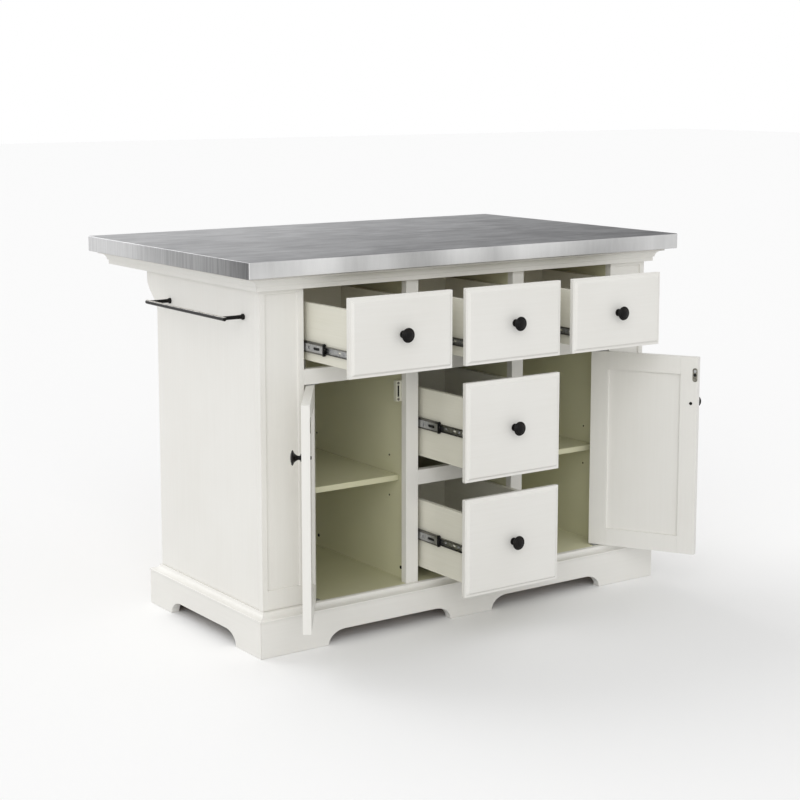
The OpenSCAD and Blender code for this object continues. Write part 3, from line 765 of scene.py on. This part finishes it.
screws = in_pair(joined("slide_screws", [set_in(small_screw, "slide_screw",
    (0.0127 - slide_sheet, along, 0), (-1, 0, 0)) for along in (0.020, 0.072, 0.205, 0.350)]))
wood_screws = in_pair(joined("cabinet_screws", [set_in(small_screw, "cabinet_screw",
    (slide_sheet, along, height), (1, 0, 0)) for along, height in (
        (0.037, 0.009), (0.037, -0.009), (0.352, 0.009), (0.352, -0.009))]))


def fold_shade_layers(place):
    """Zinc plate darkened as painted shade, for the folded flanges of the channels."""
    smear = place.grain(0.012, drawn_out(1, 0.2), detail=3.0)
    return {"Base Color": smear.between(0.3, 0.7).blend(
            (0.10, 0.098, 0.090, 1), (0.22, 0.215, 0.20, 1)), "Metallic": 1.0,
        "Roughness": 0.30 + smear * 0.15}


zinc_with_painted_shade = finish("zinc_painted_fold_shade", fold_shade_layers)
for n in range(1, 6):
    reach_low, reach_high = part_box(f"slides_{n}")
    across, height = (reach_low.x + reach_high.x) / 2, (reach_low.z + reach_high.z) / 2
    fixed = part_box("slide_cabinet_members")[0].y
    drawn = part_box(f"drawer_{n}_runners")[0].y
    for pattern, name, start, body, slot, coat, node in (
            (outer, "outer_channels", fixed, "cabinet", "zinc_steel", zinc,
                "slide_cabinet_members"),
            (wood_screws, "outer_screws", fixed, "cabinet", "zinc_steel", zinc,
                "slide_cabinet_members"),
            (liner, "mouth_liners", fixed, "cabinet", "dark_metal", nylon,
                "slide_cabinet_members"),
            (middle, "middle_channels", reach_low.y, f"slides_{n}", "zinc_steel", zinc,
                f"slides_{n}"),
            (cage, "ball_cages", reach_low.y, f"slides_{n}", "zinc_steel", zinc,
                f"slides_{n}"),
            (stop, "nylon_stops", reach_low.y, f"slides_{n}", "dark_metal", nylon,
                f"slides_{n}"),
            (inner, "inner_channels", drawn, f"drawer_{n}", "zinc_steel", zinc,
                f"drawer_{n}_runners"),
            (screws, "inner_screws", drawn, f"drawer_{n}", "zinc_steel", zinc,
                f"drawer_{n}_runners"),
            (lever, "nylon_levers", drawn, f"drawer_{n}", "dark_metal", nylon,
                f"drawer_{n}_runners")):
        member = set_in(pattern, f"drawer_{n}_{name}", (across, start, height), (0, 0, 1))
        fit(member, body, slot, coat, node)
        # The folded flanges of the middle and inner channels get the darker zinc: painted shade
        # along the folds.
        shaded_beyond = {"middle_channels": 0.0091, "inner_channels": 0.0068}.get(name)
        if shaded_beyond:
            recoat(member, zinc_with_painted_shade, lambda at, way: abs(at.z - height) > shaded_beyond)
put_away(outer, wood_screws, liner, middle, cage, stop, inner, screws, lever)

# ---- Doors -----------------------------------------------------------------------------
# Two stiles and two rails 19 mm thick, grooved for a flat panel, painted. Steel bushes let
# into the stile's ends turn on pins, a strike plate meets the catch, and the knob is the
# drawers'. They stand open, the left one by 124.5 degrees and the right one by 121.
def gunmetal_layers(place):
    """Blackened steel, cloudy, with a dull polish."""
    clouds = place.grain(0.006, detail=3.0)
    marks = place.grain(0.0005)
    return {"Base Color": clouds.between(0.35, 0.65).blend(
            (0.13, 0.125, 0.105, 1), (0.28, 0.27, 0.23, 1)), "Metallic": 1.0,
        "Roughness": 0.28 + marks * 0.2, "Normal": marks.relief(0.00005, 0.5)}


def part_of(node, suffix, kept):
    """A copy of a CAD node with only the faces whose middles pass a test."""
    piece = copy_of(node, suffix)
    pick(piece, "FACE", lambda at, way: not kept(at))
    bpy.ops.mesh.delete(type="VERT")
    bpy.ops.object.mode_set(mode="OBJECT")
    return piece


gunmetal = finish("blackened_steel", gunmetal_layers)
pivot_x, pivot_y = 0.4415, front_face + door_t / 2
knob_across, knob_up = 0.244, 0.497
strike_across, strike_up, strike_w, strike_h, strike_t = 0.2535, 0.5705, 0.0125, 0.035, 0.0012
screw_rise = 0.0095
strike = place_cube("strike_pattern", (-strike_w / 2, 0, -strike_h / 2),
    (strike_w / 2, strike_t, strike_h / 2))
pick(strike, "EDGE", lambda at, way: abs(way.y) > 0.9)
bpy.ops.mesh.bevel(offset=0.0056, segments=6, affect="EDGES")
bpy.ops.object.mode_set(mode="OBJECT")
arris(strike, 0.0002)
flush_screw = bolt("flush_screw_pattern", 0, head_r=0.0036, head_h=0.00025, cut=0.0002)
pad = turned("rubber_pad_pattern", [(0.0041, 0), (0.0041, 0.0001), (0.0037, 0.00024),
    (0.0012, 0.00024)], sides=32)
door_bolt = bolt("door_bolt_pattern", door_t)
for name, side, open_by in (("left", -1, 124.5), ("right", 1, 121)):
    body = f"door_{name}"
    leaf = (Matrix.Translation((side * pivot_x, pivot_y, 0))
        @ Matrix.Rotation(side * radians(open_by), 4, "Z"))
    outward = leaf.to_3x3() @ Vector((0, -1, 0))
    sanded(f"{body}_frame", 0.0010, "painted_wood", paint_z)
    sanded(f"{body}_panel", 0.0005, "painted_wood", paint_z)
    foot = leaf @ Vector((-side * knob_across, -door_t / 2, knob_up))
    fit(set_in(knob, f"{body}_turned_knob", foot, outward),
        body, "dark_metal", bronze, f"{body}_knob")
    fit(set_in(door_bolt, f"{body}_knob_bolt", foot, -outward),
        body, "dark_metal", bronze, f"{body}_knob")
    bushes = part_of(f"{body}_fittings", "_bushes", lambda at: not 0.5 < at.z < 0.6)
    fit(arris(bushes, 0.0003), body, "zinc_steel", zinc, f"{body}_fittings")
    plate = twin(f"{body}_strike_plate", strike)
    plate.data.transform(leaf
        @ Matrix.Translation((-side * strike_across, door_t / 2, strike_up)))
    fit(plate, body, "dark_metal", gunmetal, f"{body}_fittings")
    fit(set_in(flush_screw, f"{body}_strike_screw", leaf @ Vector(
        (-side * strike_across, door_t / 2 + strike_t, strike_up + screw_rise)), -outward),
        body, "zinc_steel", zinc, f"{body}_fittings")
    fit(set_in(pad, f"{body}_strike_pad", leaf @ Vector(
        (-side * strike_across, door_t / 2 + strike_t, strike_up)), -outward),
        body, "dark_metal", nylon, f"{body}_fittings")
put_away(knob, strike, pad, door_bolt)

# ---- Catches and pivots ----------------------------------------------------------------
# A cream plastic magnetic catch on each divider, with a black magnet bar between two screws,
# two capped screws in each divider's foot, and steel plates with pins for each door.
def cream_plastic_layers(place):
    """Cream moulded plastic with a fine matt skin."""
    skin = place.grain(0.0007)
    clouds = place.grain(0.03)
    return {"Base Color": clouds.between(0.3, 0.7).blend(
            (0.62, 0.61, 0.50, 1), (0.67, 0.66, 0.55, 1)),
        "Roughness": 0.42 + skin * 0.12, "Normal": skin.relief(0.00008, 0.5)}


cream_plastic = finish("cream_plastic", cream_plastic_layers)
catch_gap, screw_off, cap_up = 0.0015, 0.0055, 0.1287
catch_face = front_face + door_t + catch_gap
for name, kept, radius, slot, coat in (
        ("_catches", lambda at: abs(at.x) < 0.3, 0.0009, "catch_plastic", cream_plastic),
        ("_pivots", lambda at: abs(at.x) > 0.3, 0.0004, "zinc_steel", zinc)):
    piece = part_of("catches_and_pivots", name, kept)
    fit(arris(piece, radius), "cabinet", slot, coat, "catches_and_pivots")
cap = turned("screw_cap_pattern", [(0.0043, 0), (0.0043, 0.0005), (0.0038, 0.0010),
    (0.0024, 0.0013), (0.0010, 0.0014)], sides=32)
magnet_x, magnet_half, magnet_z = 0.1865, 0.0024, (0.5587, 0.5863)
for name, side in (("left", -1), ("right", 1)):
    bar = place_cube(f"magnet_bar_{name}",
        (side * magnet_x - magnet_half, catch_face + 0.0001, magnet_z[0]),
        (side * magnet_x + magnet_half, catch_face + 0.0010, magnet_z[1]))
    fit(arris(bar, 0.0003), "cabinet", "catch_plastic", nylon, "catches_and_pivots")
    for row, height in (("low", magnet_z[0] - screw_off), ("high", magnet_z[1] + screw_off)):
        fit(set_in(flush_screw, f"catch_screw_{name}_{row}",
            (side * magnet_x, catch_face, height), (0, -1, 0)),
            "cabinet", "zinc_steel", gunmetal, "catches_and_pivots")
    for row, behind in (("front", 0.047), ("back", 0.420)):
        fit(set_in(cap, f"screw_cap_{name}_{row}",
            (side * divider_face, front_face + behind, cap_up), (side, 0, 0)),
            "cabinet", "dark_metal", nylon)
put_away(cap, flush_screw, small_screw)

# ---- Room and light --------------------------------------------------------------------
# A plain white floor. The sky lights all sides alike, one broad lamp behind and to the left
# throws the soft shadow forward, and another in front lights the face.
bpy.ops.object.select_all(action="DESELECT")
bpy.ops.mesh.primitive_plane_add(size=60, location=(0, 0, 0))
floor = bpy.context.object
floor.name = "studio_floor"
sky = 0.69


def background_rays(start):
    """1 for what the camera sees directly, in metal or through glass, and 0 for light."""
    seen = start.node("ShaderNodeLightPath", out="Is Camera Ray")
    shiny = start.node("ShaderNodeLightPath", out="Is Glossy Ray")
    clear = start.node("ShaderNodeLightPath", out="Is Transmission Ray")
    return seen.sum("MAXIMUM", seen.sum("MAXIMUM", seen, shiny), clear)


def floor_layers(place):
    """White seamless floor: full white to the eye, a little less in the light it gives back."""
    dust = place.grain(0.5, detail=2.0)
    base = dust.between(0.2, 0.8).blend((0.735, 0.735, 0.735, 1), (0.755, 0.755, 0.755, 1))
    return {"Base Color": background_rays(place).blend(base, (0.97, 0.97, 0.97, 1)),
        "Roughness": 0.9, "Specular IOR Level": 0.0}


floor.data.materials.append(finish("white_floor", floor_layers))

world = bpy.data.worlds.new("white_room")
bpy.context.scene.world = world
world.use_nodes = True
world.node_tree.nodes.clear()
air = Coat(world.node_tree)
glow = air.node("ShaderNodeBackground", None,
    {"Color": (1, 1, 1, 1), "Strength": sky + (1 - sky) * background_rays(air)})
air.node("ShaderNodeOutputWorld", None, {"Surface": glow})


def broad_lamp(name, from_way, level, spread):
    """A far, wide lamp that gives a surface facing it this share of full white."""
    lamp = bpy.data.lights.new(name, "SUN")
    lamp.energy, lamp.angle = level * pi, radians(spread)
    holder = bpy.data.objects.new(name, lamp)
    holder.rotation_euler = Vector(from_way).to_track_quat("Z", "Y").to_euler()
    bpy.context.scene.collection.objects.link(holder)


broad_lamp("lamp_behind", (-0.22, 0.78, 0.56), 0.31, 55)
broad_lamp("lamp_in_front", (-0.58, -0.70, 0.36), 0.34, 55)
bpy.context.scene.view_settings.view_transform = "Standard"
